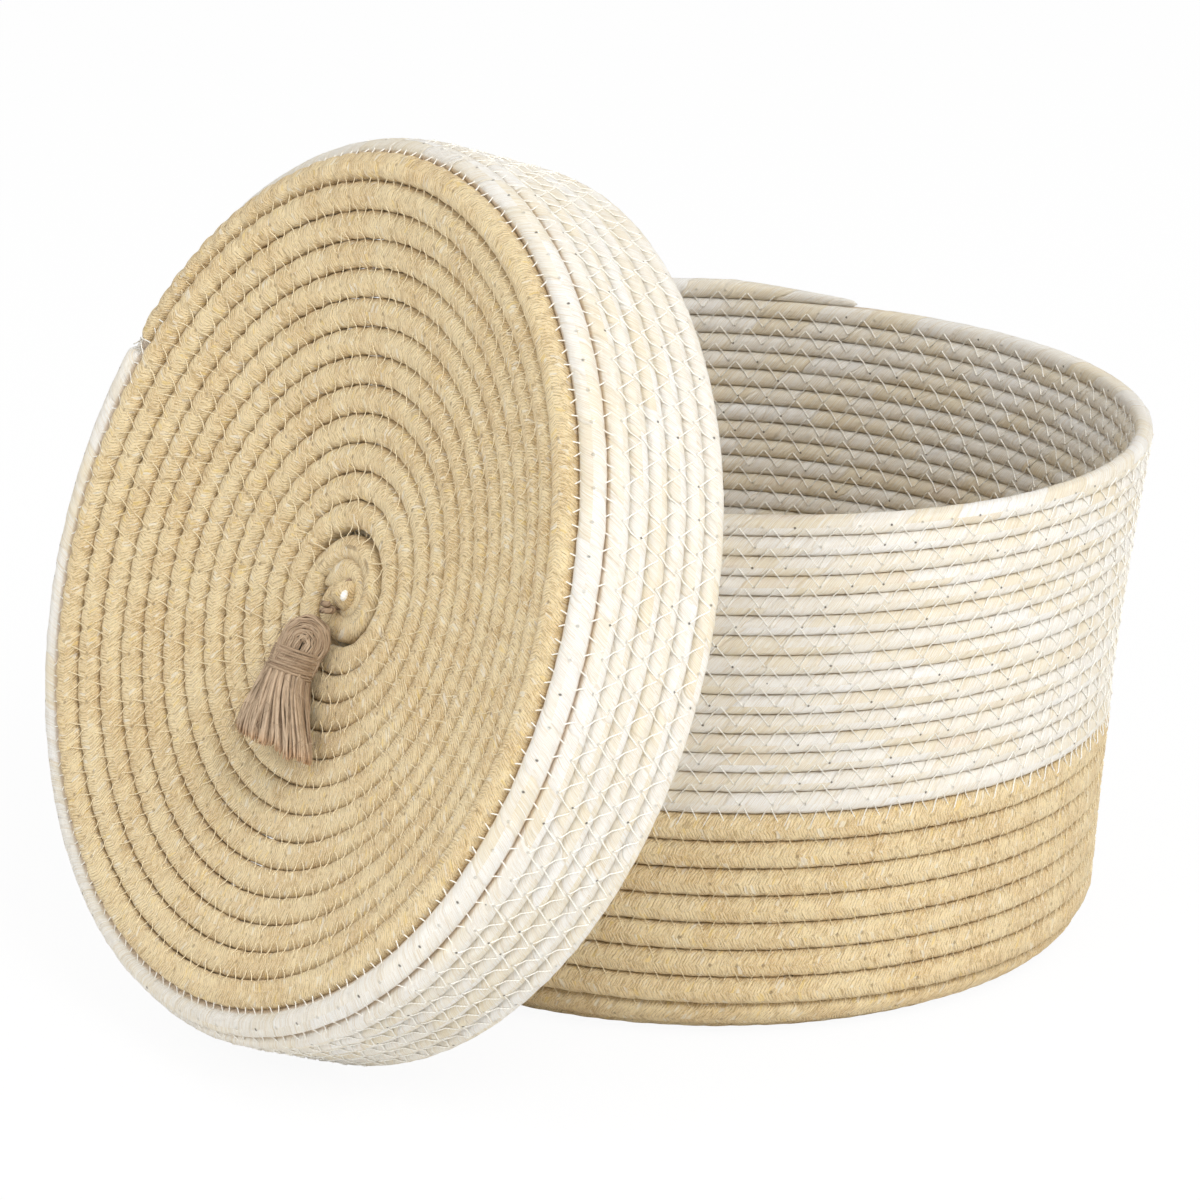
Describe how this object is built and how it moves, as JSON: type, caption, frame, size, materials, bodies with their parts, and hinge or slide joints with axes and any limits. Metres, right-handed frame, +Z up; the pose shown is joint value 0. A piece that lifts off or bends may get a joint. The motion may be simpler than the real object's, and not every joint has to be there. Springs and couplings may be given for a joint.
{
  "type": "lidded coiled-rope basket",
  "caption": "Round knitting basket of sewn coiled rope and pale husk cord, with a shallow lid leaning on its side and a small jute tassel on the lid.",
  "frame": {"origin": "middle of the underside of the basket, on the floor", "axes": "+Z up; the lid leans on the -X side, shifted towards -Y"},
  "size_m": [0.4441, 0.3939, 0.3378],
  "materials": {
    "rope_cotton": "matt braided cotton rope",
    "basket_husk": "dry husk cord, faint sheen",
    "lid_husk": "dry husk cord, faint sheen",
    "loop_twine": "matt jute twine",
    "knot_twine": "matt jute twine",
    "tassel_jute": "matt loose jute yarn",
    "binding_jute": "matt jute thread"
  },
  "bodies": {
    "basket": {"basket_rope": "rope_cotton", "basket_cord": "basket_husk"},
    "lid": {"lid_rope": "rope_cotton", "lid_cord": "lid_husk"},
    "tassel_loop": {"hanging_loop": "loop_twine", "tassel_knot": "knot_twine"},
    "tassel": {"tassel_yarn": "tassel_jute", "tassel_binding": "binding_jute"}
  },
  "joints": [
    {"name": "lid_lift_off", "type": "slide", "parent": "basket", "child": "lid", "axis": [-0.9432, 0, 0.3322], "range_m": [0, 0.15]},
    {"name": "tassel_lift", "type": "hinge", "parent": "lid", "child": "tassel_loop", "pos_m": [-0.19613, -0.0559, 0.17255], "axis": [0, 1, 0], "range_deg": [0, 80]},
    {"name": "tassel_swing", "type": "hinge", "parent": "tassel_loop", "child": "tassel", "pos_m": [-0.20685, -0.0559, 0.16955], "axis": [-0.9432, 0, 0.3322], "range_deg": [-60, 60]}
  ]
}
